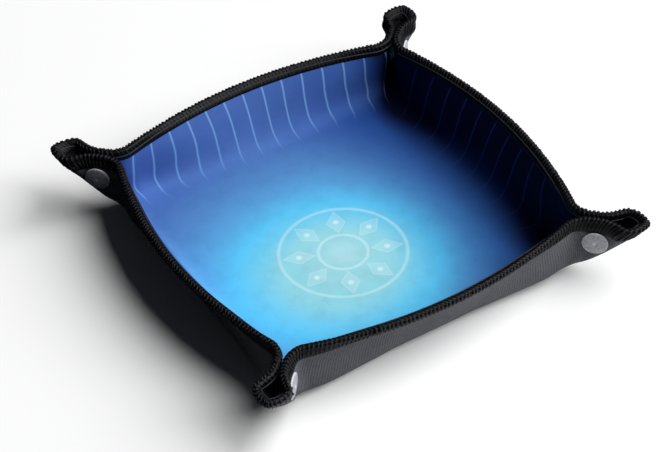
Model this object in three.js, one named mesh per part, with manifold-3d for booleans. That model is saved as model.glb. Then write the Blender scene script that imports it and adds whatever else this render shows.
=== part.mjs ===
// A fold-up dice tray: one square mat of rubber with a printed cloth face and an overlocked edge.
// Its corners are pinched into upright ears that press studs hold shut, which lifts the four walls.
// Millimetres, +Z up, origin at the centre of the underside.
import * as THREE from 'three';
import { mergeVertices } from 'three/addons/utils/BufferGeometryUtils.js';
import Module from 'manifold-3d';

// Driving dimensions of the folded mat, at the middle of its thickness
const RIM_REACH = 94; // centre to the middle of a wall's rim
const WALL_RUN = 24; // from the floor's edge out to that rim
const WALL_HEIGHT = 31.7; // from the floor up to that rim
const EAR_HEIGHT = 32.1; // from the floor up to an ear's rim
const RIM_RADIUS = 218; // of a rim's long outward bow
const FLARE_RADIUS = 7.2; // where a rim turns out into an ear
const PINCH_LENGTH = 10.5; // along which the two rims of an ear lie side by side
const LOOP_LENGTH = 18.5; // from there to the tip of the ear's teardrop loop
const LOOP_RADIUS = 6.5; // the loop's round end
const FLOOR_CORNER_RADIUS = 21;
const WALL_LEAN = 47; // degrees from level, at the rim
const FLAP_LEAN = 86; // the same where an ear starts
const FOLD_LEAN = 45; // the same along the fold under an ear
const FLOOR_HANDLE = 15.5; // how slowly a wall leaves the floor
const RIM_HANDLE = 18.6; // how far down a wall keeps its lean
const CORNER_HANDLE = 26.3; // the same two along the fold under an ear
const EAR_HANDLE = 26.7;

// Layers of the mat
const RUBBER_THICKNESS = 2.7;
const CLOTH_THICKNESS = 0.4;
const BOND_GAP = 0.3;
const EDGING_WIDTH = 5;
const EDGING_THICKNESS = 0.85;
const EDGING_GAP = 0.35;

// Press studs: a cap's post goes through each flap of an ear and holds a stud or a socket
const CAP_DIAMETER = 12.4;
const CAP_EDGE = 0.7; // thickness at the edge
const CAP_CROWN = 0.7; // rise of the face above that edge
const DIMPLE_DIAMETER = 2.2;
const DIMPLE_DEPTH = 0.3;
const CAP_MARGIN = 0.5; // from a cap to the edging, and to the start of the pinch
const POST_DIAMETER = 1.5;
const POST_HEAD_DIAMETER = 2.1; // where the post's end is crimped
const POST_HEAD_HEIGHT = 0.25;
const FLANGE_DIAMETER = 10.7;
const FLANGE_THICKNESS = 0.6;
const STUD_WAIST_DIAMETER = 3.4;
const STUD_BULB_DIAMETER = 3.8;
const STUD_BORE_DIAMETER = 2.6;
const STUD_REACH = 1.4; // past its flange
const BULB_SHARE = 1 / 3; // of that reach, back from the tip to the bulb's widest
const SOCKET_DIAMETER = 7.6;
const SOCKET_BORE_DIAMETER = 5.2;
const SOCKET_LIP_DIAMETER = 4.7;
const SOCKET_LIP_THICKNESS = 0.4;
const SOCKET_REACH = 1.4; // past its flange
const SNAP_PLAY = 0.3; // from the socket's mouth to the stud's flange
const SEAT_GAP = 0.15; // under a cap, a flange or a crimped head
const POST_CLEARANCE = 0.15; // around a post
const PRESSED_WIDTH = 7; // ring around a cap in which the mat eases back to its own curve
const ROUNDING_RUN = 14; // before the ear, along which the corner's valley rounds into its fold

// Cuts that part an ear's flaps from the walls and from each other
const FLAP_GAP = 0.3;
const FOLD_GAP = 0.6;
const OVERRUN = 90;
const WEDGE_REACH = 2 * OVERRUN;

// Facets
const BOW_STEPS = 4;
const FLARE_STEPS = 4;
const PINCH_STEPS = 2;
const NECK_STEPS = 2;
const LOOP_STEPS = 4;
const FOLD_STEPS = 60;
const CAP_FACETS = 16;
const SNAP_FACETS = 10;
const ROW_SHARES = [0, 0.25, 0.5, 0.75, 1]; // of the way from the floor to the edging's border

// Where along an eighth of the mat one form gives way to the next
const CORNER_SHARES = [0.25, 0.95]; // of the floor's outline: from a wall's direction to the corner's
const LIFT_START_SHARE = 0.4; // of a rim's bow, where it starts to climb to the ear
const PINCH_START_SHARE = 0.55; // of a rim's bow, where its wall starts to turn upright
const BACK_SHARE = 0.55; // of the edging's half width that the crest of its back takes

// How closely slopes and borders are found on the mat's surface
const PROBE = 0.1; // along the rim
const PROBE_SHARE = 0.005; // of the way up
const HALVINGS = 20;

const { degToRad, radToDeg, lerp, smoothstep } = THREE.MathUtils;
const QUARTER_TURN = Math.PI / 2;
const DIAGONAL = Math.PI / 4;
const UP = new THREE.Vector3(0, 0, 1);
const CORNERS = ['back_right', 'back_left', 'front_left', 'front_right'];
const SIDES = ['right', 'back', 'left', 'front'];

const sheetThickness = RUBBER_THICKNESS + BOND_GAP + CLOTH_THICKNESS;
const halfSheet = sheetThickness / 2;
const edgingInside = halfSheet + EDGING_GAP;
const edgingOutside = edgingInside + EDGING_THICKNESS;
const floorHalf = RIM_REACH - WALL_RUN;

// A closed press stud holds the cloth faces of an ear's two flaps this far apart
const snapGap = 2 * SEAT_GAP + 2 * FLANGE_THICKNESS + SOCKET_REACH + SNAP_PLAY;
const flapOffset = (snapGap + sheetThickness) / 2; // from the diagonal plane to a flap's middle

const rubber = new THREE.MeshStandardMaterial({ color: '#1c1d20', roughness: 0.75, metalness: 0 });
const cloth = new THREE.MeshStandardMaterial({ color: '#1f5fb4', roughness: 0.7, metalness: 0 });
const thread = new THREE.MeshStandardMaterial({ color: '#0b0b0d', roughness: 0.6, metalness: 0 });
const capPlastic = new THREE.MeshStandardMaterial({ color: '#7c7e86', roughness: 0.4, metalness: 0 });
const snapPlastic = new THREE.MeshStandardMaterial({ color: '#8d9098', roughness: 0.4, metalness: 0 });

const wasm = await Module();
wasm.setup();

// A place in plan from its distance along the +45 degree diagonal and its distance clockwise off it
function fromDiagonal(along, off) {
  return new THREE.Vector2((along + off) * Math.SQRT1_2, (along - off) * Math.SQRT1_2);
}

// The rim in plan, from the middle of the +X wall to the tip of the ear at +45 degrees: a long bow,
// a flare out into the ear, the straight pinch, the neck and the round end of the loop. The bow and
// flare are tangent arcs, and so are the neck and loop. A radius is positive where the rim turns left.
const bowCentre = fromDiagonal(0, 0).setX(RIM_REACH - RIM_RADIUS);
const bowCentreOff = bowCentre.x * Math.SQRT1_2;
const flareOff = flapOffset + FLARE_RADIUS;
const pinchReach = bowCentreOff
  + Math.sqrt((RIM_RADIUS + FLARE_RADIUS) ** 2 - (flareOff - bowCentreOff) ** 2);
const flareCentre = fromDiagonal(pinchReach, flareOff);
const bowTurn = Math.atan2(flareCentre.y, flareCentre.x - bowCentre.x);
const loopRun = LOOP_LENGTH - LOOP_RADIUS;
const neckRadius = (loopRun ** 2 + flapOffset ** 2 - LOOP_RADIUS ** 2) / (2 * (LOOP_RADIUS - flapOffset));
const neckTurn = Math.asin(loopRun / (neckRadius + LOOP_RADIUS));
const RIM_LEGS = [
  { turn: bowTurn, radius: RIM_RADIUS, steps: BOW_STEPS },
  { turn: bowTurn + QUARTER_TURN - DIAGONAL, radius: -FLARE_RADIUS, steps: FLARE_STEPS },
  { length: PINCH_LENGTH, steps: PINCH_STEPS },
  { turn: neckTurn, radius: -neckRadius, steps: NECK_STEPS },
  { turn: neckTurn + QUARTER_TURN, radius: LOOP_RADIUS, steps: LOOP_STEPS },
];
let rimLength = 0;
const rimStations = [0];
for (const leg of RIM_LEGS) {
  leg.start = rimLength;
  leg.length ??= Math.abs(leg.radius) * leg.turn;
  rimLength += leg.length;
  for (let step = 1; step <= leg.steps; step += 1) {
    rimStations.push(leg.start + leg.length * step / leg.steps);
  }
}
const [bowLeg, flareLeg, pinchLeg, neckLeg] = RIM_LEGS;

const snapReach = pinchReach + CAP_MARGIN + CAP_DIAMETER / 2;
const snapHeight = halfSheet + EAR_HEIGHT - EDGING_WIDTH - CAP_MARGIN - CAP_DIAMETER / 2;

// Walks the rim's legs and returns the place and heading at a distance along it
function rimAt(distance) {
  const place = new THREE.Vector2(RIM_REACH, 0);
  let heading = QUARTER_TURN;
  for (const leg of RIM_LEGS) {
    const run = Math.min(distance - leg.start, leg.length);
    if (run <= 0) break;
    if (leg.radius) {
      const turned = heading + run / leg.radius;
      place.x += leg.radius * (Math.sin(turned) - Math.sin(heading));
      place.y -= leg.radius * (Math.cos(turned) - Math.cos(heading));
      heading = turned;
    } else {
      place.x += run * Math.cos(heading);
      place.y += run * Math.sin(heading);
    }
  }
  return { place, heading };
}

// The floor's outline at the same distance along the rim: its corners gather up the ears' spare length
const floorStraight = floorHalf - FLOOR_CORNER_RADIUS;
const floorLength = floorStraight + FLOOR_CORNER_RADIUS * DIAGONAL;
function floorAt(distance) {
  const along = floorLength * (1 - (1 - distance / rimLength) ** (rimLength / floorLength));
  const turned = Math.max(along - floorStraight, 0) / FLOOR_CORNER_RADIUS;
  const place = new THREE.Vector2(
    floorStraight + FLOOR_CORNER_RADIUS * Math.cos(turned),
    Math.min(along, floorStraight) + FLOOR_CORNER_RADIUS * Math.sin(turned),
  );
  return { place, share: along / floorLength };
}

// The mat's curve from the floor up to the rim, level where it leaves the floor. It leans out at the
// middle of a wall, stands upright at the pinch and leans back along the fold under the ear.
function riseAt(distance) {
  const rim = rimAt(distance);
  const floor = floorAt(distance);
  const cornerness = smoothstep(floor.share, ...CORNER_SHARES);
  const upright = smoothstep(distance, bowLeg.length * PINCH_START_SHARE, pinchLeg.start);
  const eared = smoothstep(distance, flareLeg.start, rimLength);
  const lifted = smoothstep(distance, bowLeg.length * LIFT_START_SHARE, neckLeg.start);

  const outward = new THREE.Vector3(1, 0, 0).lerp(new THREE.Vector3(1, 1, 0).normalize(), cornerness);
  const foot = new THREE.Vector3(floor.place.x, floor.place.y, halfSheet);
  const footHandle = outward.normalize().multiplyScalar(lerp(FLOOR_HANDLE, CORNER_HANDLE, cornerness));

  const height = halfSheet + lerp(WALL_HEIGHT, EAR_HEIGHT, lifted);
  const top = new THREE.Vector3(rim.place.x, rim.place.y, height);
  const rimNormal = new THREE.Vector3(Math.sin(rim.heading), -Math.cos(rim.heading), 0);
  const diagonal = new THREE.Vector3(1, 1, 0).normalize();
  const topHandle = leaning(rimNormal, WALL_LEAN, RIM_HANDLE);
  const flapLean = lerp(FLAP_LEAN, FOLD_LEAN, eared);
  topHandle.lerp(leaning(diagonal, flapLean, lerp(RIM_HANDLE, EAR_HANDLE, eared)), upright);

  return new THREE.CubicBezierCurve3(foot, foot.clone().add(footHandle), top.clone().sub(topHandle), top);
}

// A vector of a given length that rises from a level direction at a lean in degrees
function leaning(level, lean, length) {
  const rise = degToRad(lean);
  return level.clone().multiplyScalar(length * Math.cos(rise))
    .addScaledVector(UP, length * Math.sin(rise));
}

// The fold under the ear, as short lines in the diagonal plane
const foldPoints = riseAt(rimLength).getPoints(FOLD_STEPS)
  .map((point) => new THREE.Vector3(Math.hypot(point.x, point.y), 0, point.z));
const foldLines = foldPoints.slice(1).map((point, i) => new THREE.Line3(foldPoints[i], point));
function heightAboveFold(along, z) {
  const place = new THREE.Vector3(along, 0, z);
  const nearest = new THREE.Vector3();
  return Math.min(...foldLines.map((line) => (
    line.closestPointToPoint(place, true, nearest).distanceTo(place))));
}

// Around a cap an ear's flap is pressed flat, at the distance off the diagonal plane that the stud
// keeps, and towards the ear the two flaps round into each other in a half circle at the fold
function pressFlat(point) {
  const along = (point.x + point.y) * Math.SQRT1_2;
  const off = (point.x - point.y) * Math.SQRT1_2;
  const rounded = smoothstep(along, pinchReach - ROUNDING_RUN, pinchReach);
  if (rounded === 0) return point;
  const fromSnap = Math.hypot(along - snapReach, point.z - snapHeight);
  const capRadius = CAP_DIAMETER / 2;
  const pressed = 1 - smoothstep(fromSnap, capRadius, capRadius + PRESSED_WIDTH);
  const wide = lerp(off, flapOffset, pressed);
  const short = Math.max(wide - heightAboveFold(along, point.z), 0);
  const plan = fromDiagonal(along, lerp(wide, Math.sqrt(wide ** 2 - short ** 2), rounded));
  return point.set(plan.x, plan.y, point.z);
}

// The mat's middle surface. Distances past either end of the eighth come from its mirror images.
function sheetPoint(distance, share) {
  if (distance < 0) {
    const image = sheetPoint(-distance, share);
    return image.setY(-image.y);
  }
  if (distance > rimLength) {
    const image = sheetPoint(2 * rimLength - distance, share);
    return image.set(image.y, image.x, image.z);
  }
  return pressFlat(riseAt(distance).getPoint(share));
}

// Unit normal of the middle surface, on the rubber's side
function sheetNormal(distance, share) {
  if (share === 0) return UP.clone().negate();
  const across = sheetPoint(distance + PROBE, share).sub(sheetPoint(distance - PROBE, share));
  const upper = sheetPoint(distance, Math.min(share + PROBE_SHARE, 1));
  return across.cross(upper.sub(sheetPoint(distance, share - PROBE_SHARE))).normalize();
}

// The share of the rise at which the edging's border lies, found by halving
function borderShare(distance) {
  const rim = sheetPoint(distance, 1);
  let [low, high] = [0, 1];
  for (let step = 0; step < HALVINGS; step += 1) {
    const middle = (low + high) / 2;
    if (sheetPoint(distance, middle).distanceTo(rim) > EDGING_WIDTH) low = middle;
    else high = middle;
  }
  return high;
}

// Carries a section all the way round the mat: the section is a list of points at a distance along
// the rim, and a closed one joins its last point to its first. Faces of layers that lie side by side
// are split along the same diagonals, and those of the two halves of a wall along mirrored ones.
function sweepAround(sectionAt, closed) {
  const mirrored = rimStations.slice(1).map((distance) => -distance).reverse();
  const stations = [...mirrored, ...rimStations.slice(0, -1)];
  const sections = stations.map(sectionAt);
  const size = sections[0].length;
  const positions = [];
  for (const side of SIDES.keys()) {
    for (const section of sections) {
      for (const point of section) {
        positions.push(...point.clone().applyAxisAngle(UP, side * QUARTER_TURN));
      }
    }
  }
  const columns = positions.length / 3 / size;
  const index = [];
  for (let column = 0; column < columns; column += 1) {
    const here = column * size;
    const next = ((column + 1) % columns) * size;
    const mirrorHalf = column % stations.length < stations.length / 2;
    for (let row = 0; row < (closed ? size : size - 1); row += 1) {
      const after = (row + 1) % size;
      const falling = sections[0][after].z < sections[0][row].z;
      if (falling === mirrorHalf) {
        index.push(here + row, next + row, next + after, here + row, next + after, here + after);
      } else {
        index.push(here + row, next + row, here + after, next + row, next + after, here + after);
      }
    }
  }
  const geometry = new THREE.BufferGeometry();
  geometry.setAttribute('position', new THREE.Float32BufferAttribute(positions, 3));
  return geometry.setIndex(index);
}

// One layer of the mat between two offsets from its middle surface, the outer one on the rubber's side
function layerGeometry(outer, inner) {
  return sweepAround((distance) => {
    const border = borderShare(distance);
    const shares = [...ROW_SHARES.map((share) => share * border), 1];
    const skin = (offset) => shares.map((share) => (
      sheetPoint(distance, share).addScaledVector(sheetNormal(distance, share), offset)));
    const centre = (offset) => new THREE.Vector3(0, 0, halfSheet - offset);
    return [centre(outer), ...skin(outer), ...skin(inner).reverse(), centre(inner)];
  }, false);
}

// The overlocked edging: a channel over the mat's edge, with a rounded back
function edgingGeometry() {
  return sweepAround((distance) => {
    const edge = sheetPoint(distance, 1);
    const edgeNormal = sheetNormal(distance, 1);
    const share = borderShare(distance);
    const border = sheetPoint(distance, share);
    const borderNormal = sheetNormal(distance, share);
    const upward = edge.clone().sub(border).normalize();
    const atBorder = (offset) => border.clone().addScaledVector(borderNormal, offset);
    const atEdge = (offset, rise) => (
      edge.clone().addScaledVector(edgeNormal, offset).addScaledVector(upward, rise));
    const crest = EDGING_GAP + EDGING_THICKNESS;
    return [
      atBorder(edgingInside), atBorder(edgingOutside), atEdge(edgingOutside, 0),
      atEdge(edgingOutside * BACK_SHARE, crest), atEdge(-edgingOutside * BACK_SHARE, crest),
      atEdge(-edgingOutside, 0), atBorder(-edgingOutside), atBorder(-edgingInside),
      atEdge(-edgingInside, EDGING_GAP), atEdge(edgingInside, EDGING_GAP),
    ];
  }, true);
}

function solidOf(geometry) {
  const bare = geometry.clone();
  bare.deleteAttribute('normal');
  bare.deleteAttribute('uv');
  const merged = mergeVertices(bare);
  const corners = merged.index.array;
  const triangles = [];
  for (let i = 0; i < corners.length; i += 3) {
    const [a, b, c] = corners.slice(i, i + 3);
    if (a !== b && b !== c && c !== a) triangles.push(a, b, c);
  }
  return new wasm.Manifold(new wasm.Mesh({
    numProp: 3,
    vertProperties: new Float32Array(merged.attributes.position.array),
    triVerts: new Uint32Array(triangles),
  }));
}

function geometryOf(solid) {
  const mesh = solid.getMesh();
  const geometry = new THREE.BufferGeometry();
  geometry.setAttribute('position', new THREE.Float32BufferAttribute(mesh.vertProperties, 3));
  geometry.setIndex(new THREE.Uint32BufferAttribute(mesh.triVerts, 1));
  geometry.computeVertexNormals();
  return geometry;
}

// The space beyond a distance along the +45 degree diagonal, and from one distance off it to another
function earBlock(alongFrom, offFrom, offTo) {
  const block = new THREE.BoxGeometry(OVERRUN, offTo - offFrom, 2 * OVERRUN);
  block.translate(alongFrom + OVERRUN / 2, -(offFrom + offTo) / 2, 0);
  return solidOf(block.rotateZ(DIAGONAL));
}

function withoutEars(solid) {
  const block = earBlock(pinchReach - FLAP_GAP / 2, -OVERRUN / 2, OVERRUN / 2);
  return CORNERS.reduce((rest, name, turn) => (
    rest.subtract(block.rotate([0, 0, turn * radToDeg(QUARTER_TURN)]))), solid);
}

// A stud's flap lies clockwise of the diagonal and a socket's flap the other way
const STUD_SIDE = 1;
const SOCKET_SIDE = -1;
function flapOf(solid, side) {
  const near = side * FOLD_GAP / 2;
  const far = side * OVERRUN / 2;
  const block = earBlock(pinchReach + FLAP_GAP / 2, Math.min(near, far), Math.max(near, far));
  return solid.intersect(block);
}

// Sets an object at a snap on one side of the ear at +45 degrees, with its Y axis pointing away from
// the diagonal plane, at a distance off that plane
function setAtSnap(object, side, off) {
  const plan = fromDiagonal(snapReach, side * off);
  const away = fromDiagonal(0, side);
  object.position.set(plan.x, plan.y, snapHeight);
  object.quaternion.setFromUnitVectors(new THREE.Vector3(0, 1, 0), new THREE.Vector3(away.x, away.y, 0));
  object.updateMatrix();
  return object;
}

// A round tool that clears the mat at a snap between two distances off the diagonal plane
function snapCut(diameter, side, from, to) {
  const tool = new THREE.CylinderGeometry(diameter / 2, diameter / 2, to - from, CAP_FACETS);
  const holder = setAtSnap(new THREE.Object3D(), side, (from + to) / 2);
  return solidOf(tool.applyMatrix4(holder.matrix));
}

// Seats that the cap and the flange press into the mat, and the hole that the post goes through
function punched(solid, side) {
  const outerFace = flapOffset + halfSheet;
  const innerFace = flapOffset - halfSheet;
  return solid
    .subtract(snapCut(CAP_DIAMETER + 2 * SEAT_GAP, side, outerFace, outerFace + SOCKET_DIAMETER))
    .subtract(snapCut(FLANGE_DIAMETER + 2 * SEAT_GAP, side, 0, innerFace))
    .subtract(snapCut(POST_DIAMETER + 2 * POST_CLEARANCE, side, 0, outerFace + SOCKET_DIAMETER));
}

function lathe(profile, facets) {
  return new THREE.LatheGeometry(profile.map(([x, y]) => new THREE.Vector2(x, y)), facets);
}

// Cap with its post, from the rubber's face at zero: the post goes down through the mat and the
// flange, and its end is crimped wider
function capGeometry() {
  const radius = CAP_DIAMETER / 2;
  const postRadius = POST_DIAMETER / 2;
  const crown = SEAT_GAP + CAP_EDGE + CAP_CROWN;
  const head = -(sheetThickness + 2 * SEAT_GAP + FLANGE_THICKNESS);
  return lathe([
    [0, head - POST_HEAD_HEIGHT], [POST_HEAD_DIAMETER / 2, head - POST_HEAD_HEIGHT],
    [POST_HEAD_DIAMETER / 2, head], [postRadius, head], [postRadius, SEAT_GAP],
    [radius, SEAT_GAP], [radius, SEAT_GAP + CAP_EDGE],
    [radius - CAP_CROWN, SEAT_GAP + CAP_EDGE + CAP_CROWN / 2],
    [DIMPLE_DIAMETER / 2, crown], [0, crown - DIMPLE_DEPTH],
  ], CAP_FACETS);
}

// Stud, from the cloth's face at zero towards the socket: a flange with a hollow bulb on it
function studGeometry() {
  const hole = POST_DIAMETER / 2 + POST_CLEARANCE;
  const face = -SEAT_GAP - FLANGE_THICKNESS;
  const tip = face - STUD_REACH;
  return lathe([
    [hole, face], [STUD_BORE_DIAMETER / 2, face], [STUD_BORE_DIAMETER / 2, tip],
    [STUD_WAIST_DIAMETER / 2, tip], [STUD_BULB_DIAMETER / 2, tip + STUD_REACH * BULB_SHARE],
    [STUD_WAIST_DIAMETER / 2, face], [FLANGE_DIAMETER / 2, face],
    [FLANGE_DIAMETER / 2, -SEAT_GAP], [hole, -SEAT_GAP], [hole, face],
  ], SNAP_FACETS);
}

// Socket, from the cloth's face at zero towards the stud: a flange with a ring whose lip grips the bulb
function socketGeometry() {
  const hole = POST_DIAMETER / 2 + POST_CLEARANCE;
  const face = -SEAT_GAP - FLANGE_THICKNESS;
  const mouth = face - SOCKET_REACH;
  return lathe([
    [hole, face], [SOCKET_BORE_DIAMETER / 2, face],
    [SOCKET_BORE_DIAMETER / 2, mouth + SOCKET_LIP_THICKNESS],
    [SOCKET_LIP_DIAMETER / 2, mouth], [SOCKET_DIAMETER / 2, mouth],
    [SOCKET_DIAMETER / 2, face], [FLANGE_DIAMETER / 2, face],
    [FLANGE_DIAMETER / 2, -SEAT_GAP], [hole, -SEAT_GAP], [hole, face],
  ], SNAP_FACETS);
}

function piece(name, geometry, material) {
  const mesh = new THREE.Mesh(geometry, material);
  mesh.name = name;
  return mesh;
}

const rubberSolid = solidOf(layerGeometry(halfSheet, halfSheet - RUBBER_THICKNESS));
const clothSolid = solidOf(layerGeometry(CLOTH_THICKNESS - halfSheet, -halfSheet));
const edgingSolid = solidOf(edgingGeometry());

const tray = new THREE.Group();
tray.add(piece('rubber_mat', geometryOf(withoutEars(rubberSolid)), rubber));
tray.add(piece('printed_cloth', geometryOf(withoutEars(clothSolid)), cloth));

// The edging of one wall, cut from the whole by a wedge between the two diagonals
const wedge = new THREE.Shape([
  new THREE.Vector2(0, 0), new THREE.Vector2(WEDGE_REACH, -WEDGE_REACH),
  new THREE.Vector2(WEDGE_REACH, WEDGE_REACH),
]);
const wedgeGeometry = new THREE.ExtrudeGeometry(wedge, { depth: OVERRUN, bevelEnabled: false });
const wallEdging = geometryOf(withoutEars(edgingSolid).intersect(solidOf(wedgeGeometry)));
for (const [turn, side] of SIDES.entries()) {
  const strip = piece(`edging_${side}`, wallEdging, thread);
  strip.rotation.z = turn * QUARTER_TURN;
  tray.add(strip);
}

// Each ear: two flaps of mat, cloth and edging, with a stud on one and its socket on the other
const flaps = [['stud', STUD_SIDE, studGeometry()], ['socket', SOCKET_SIDE, socketGeometry()]].map(
  ([kind, side, snap]) => ({
    kind,
    side,
    snap,
    rubber: geometryOf(punched(flapOf(rubberSolid, side), side)),
    cloth: geometryOf(punched(flapOf(clothSolid, side), side)),
    edging: geometryOf(flapOf(edgingSolid, side)),
  }),
);
const cap = capGeometry();
for (const [turn, corner] of CORNERS.entries()) {
  const ear = new THREE.Group();
  ear.rotation.z = turn * QUARTER_TURN;
  for (const flap of flaps) {
    const suffix = `${corner}_${flap.kind}`;
    ear.add(
      piece(`rubber_flap_${suffix}`, flap.rubber, rubber),
      piece(`cloth_flap_${suffix}`, flap.cloth, cloth),
      piece(`edging_flap_${suffix}`, flap.edging, thread),
      setAtSnap(piece(`cap_${suffix}`, cap, capPlastic), flap.side, flapOffset + halfSheet),
      setAtSnap(piece(`${flap.kind}_${corner}`, flap.snap, snapPlastic), flap.side, flapOffset - halfSheet),
    );
  }
  tray.add(ear);
}

export default tray;
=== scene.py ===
import math

import bmesh
import bpy
import numpy as np
from mathutils import Matrix, Vector


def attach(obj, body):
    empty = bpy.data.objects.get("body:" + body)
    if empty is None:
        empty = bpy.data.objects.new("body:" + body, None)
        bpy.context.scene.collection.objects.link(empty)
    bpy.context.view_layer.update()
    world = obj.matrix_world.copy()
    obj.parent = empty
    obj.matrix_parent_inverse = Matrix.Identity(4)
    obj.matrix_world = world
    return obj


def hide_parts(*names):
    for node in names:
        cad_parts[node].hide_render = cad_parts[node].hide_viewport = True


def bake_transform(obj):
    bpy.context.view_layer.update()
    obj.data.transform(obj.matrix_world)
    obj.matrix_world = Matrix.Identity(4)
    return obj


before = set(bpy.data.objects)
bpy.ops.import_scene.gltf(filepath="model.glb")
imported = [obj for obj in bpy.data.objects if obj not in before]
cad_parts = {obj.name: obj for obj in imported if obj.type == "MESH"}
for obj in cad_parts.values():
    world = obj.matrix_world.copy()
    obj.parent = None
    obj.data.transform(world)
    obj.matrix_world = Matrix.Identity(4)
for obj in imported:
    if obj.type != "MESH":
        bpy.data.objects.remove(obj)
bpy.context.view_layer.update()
MM = 0.001

# The camera
# A long lens from above the front right corner, tipped a little to its left. It was solved from the
# rim, ears, pinches and caps together.
AZIMUTH, ELEVATION, ROLL = math.radians(59.71), math.radians(42.14), math.radians(-2.49)
back = Vector((math.sin(AZIMUTH) * math.cos(ELEVATION), -math.cos(AZIMUTH) * math.cos(ELEVATION),
               math.sin(ELEVATION)))
level = Vector((math.cos(AZIMUTH), math.sin(AZIMUTH), 0))
over = back.cross(level)
right = level * math.cos(ROLL) + over * math.sin(ROLL)
up = over * math.cos(ROLL) - level * math.sin(ROLL)
camera = bpy.data.objects.new("camera", bpy.data.cameras.new("camera"))
bpy.context.scene.collection.objects.link(camera)
bpy.context.scene.camera = camera
bpy.context.scene.view_settings.view_transform = "Standard"
FOCAL_PIXELS, PICTURE_PIXELS = 2060.5, 661
camera.data.lens = FOCAL_PIXELS / PICTURE_PIXELS * camera.data.sensor_width
camera.data.clip_start, camera.data.clip_end = 0.05, 20
CAMERA_BACK, CAMERA_LEFT, CAMERA_UP, AIM_HEIGHT = 1000.5, 6.59, 3.96, 1.7
place = (back * CAMERA_BACK - right * CAMERA_LEFT + up * CAMERA_UP) * MM + Vector((0, 0, AIM_HEIGHT * MM))
camera.matrix_world = Matrix((
    (right.x, up.x, back.x, place.x),
    (right.y, up.y, back.y, place.y),
    (right.z, up.z, back.z, place.z),
    (0, 0, 0, 1)))

# The rubber backing
# One sheet of soft rubber with a finely ribbed knit on its outside. It is cut square, and pinched up
# at its corners. Sizes are in millimetres, at the middle of the mat's thickness.
RIM_REACH, WALL_RUN, WALL_HEIGHT, EAR_HEIGHT = 94, 24, 31.7, 32.1
RIM_RADIUS, FLARE_RADIUS, PINCH_LENGTH, LOOP_LENGTH, LOOP_RADIUS = 218, 7.2, 10.5, 19.1, 7.1
FLOOR_CORNER, FLOOR_HALF = 21, RIM_REACH - WALL_RUN
WALL_LEAN, FLAP_LEAN, FOLD_LEAN = 47, 86, 45
FLOOR_HANDLE, RIM_HANDLE, CORNER_HANDLE, EAR_HANDLE = 15.5, 18.6, 26.3, 26.7
HALF_SHEET, SNAP_GAP = 1.7, 3.2
FLAP_OFFSET = HALF_SHEET + SNAP_GAP / 2
CAP_RADIUS, PRESSED_WIDTH, ROUNDING_RUN, EDGING_WIDTH = 6.2, 7, 14, 5
ROOT_HALF = math.sqrt(0.5)
CORNERS = ["back_right", "back_left", "front_left", "front_right"]

bow_x = RIM_REACH - RIM_RADIUS
flare_off = FLAP_OFFSET + FLARE_RADIUS
bow_off = bow_x * ROOT_HALF
PINCH_REACH = bow_off + math.sqrt((RIM_RADIUS + FLARE_RADIUS) ** 2 - (flare_off - bow_off) ** 2)
flare_x = (PINCH_REACH + flare_off) * ROOT_HALF
flare_y = (PINCH_REACH - flare_off) * ROOT_HALF
bow_turn = math.atan2(flare_y, flare_x - bow_x)
loop_run = LOOP_LENGTH - LOOP_RADIUS
neck_radius = (loop_run ** 2 + FLAP_OFFSET ** 2 - LOOP_RADIUS ** 2) / (2 * (LOOP_RADIUS - FLAP_OFFSET))
neck_turn = math.asin(loop_run / (neck_radius + LOOP_RADIUS))
# Each leg of the rim: its length, its radius (None where it is straight), and its columns of faces
rim_legs = [
    (RIM_RADIUS * bow_turn, RIM_RADIUS, 14),
    (FLARE_RADIUS * (bow_turn + math.pi / 4), -FLARE_RADIUS, 10),
    (PINCH_LENGTH, None, 8),
    (neck_radius * neck_turn, -neck_radius, 8),
    (LOOP_RADIUS * (neck_turn + math.pi / 2), LOOP_RADIUS, 14),
]
leg_ends = np.cumsum([0] + [leg[0] for leg in rim_legs])
RIM_LENGTH = leg_ends[-1]
columns = np.concatenate([[0]] + [
    np.linspace(leg_ends[i], leg_ends[i + 1], leg[2] + 1)[1:] for i, leg in enumerate(rim_legs)])
SNAP_REACH = PINCH_REACH + 0.5 + CAP_RADIUS
SNAP_HEIGHT = HALF_SHEET + EAR_HEIGHT - EDGING_WIDTH - 0.5 - CAP_RADIUS
# Above its press stud an ear's two rims lean together, and the thread squeezes the mat's edge
LEAN_IN, SQUEEZED_SHARE, SQUEEZED_FROM = 1.45, 0.26, 0.88


def smoothstep(value, low, high):
    share = np.clip((value - low) / (high - low), 0, 1)
    return share * share * (3 - 2 * share)


def lerp(low, high, share):
    return low + (high - low) * share


def rim_at(distance):
    """Place and heading on the rim, from the middle of the +X wall to the tip of the ear at +45."""
    x, y = np.full_like(distance, RIM_REACH), np.zeros_like(distance)
    heading = np.full_like(distance, math.pi / 2)
    for start, (length, radius, _) in zip(leg_ends, rim_legs):
        run = np.clip(distance - start, 0, length)
        if radius is None:
            x, y = x + run * np.cos(heading), y + run * np.sin(heading)
        else:
            turned = heading + run / radius
            x = x + radius * (np.sin(turned) - np.sin(heading))
            y = y - radius * (np.cos(turned) - np.cos(heading))
            heading = turned
    return x, y, heading


floor_straight = FLOOR_HALF - FLOOR_CORNER
floor_length = floor_straight + FLOOR_CORNER * math.pi / 4


def floor_at(distance):
    left = np.maximum(1 - distance / RIM_LENGTH, 0)
    along = floor_length * (1 - left ** (RIM_LENGTH / floor_length))
    turned = np.maximum(along - floor_straight, 0) / FLOOR_CORNER
    x = floor_straight + FLOOR_CORNER * np.cos(turned)
    y = np.minimum(along, floor_straight) + FLOOR_CORNER * np.sin(turned)
    return x, y, along / floor_length


def leaning(x, y, lean, length):
    flat = length * np.cos(np.radians(lean))
    return np.stack([x * flat, y * flat, length * np.sin(np.radians(lean))], -1)


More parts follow.
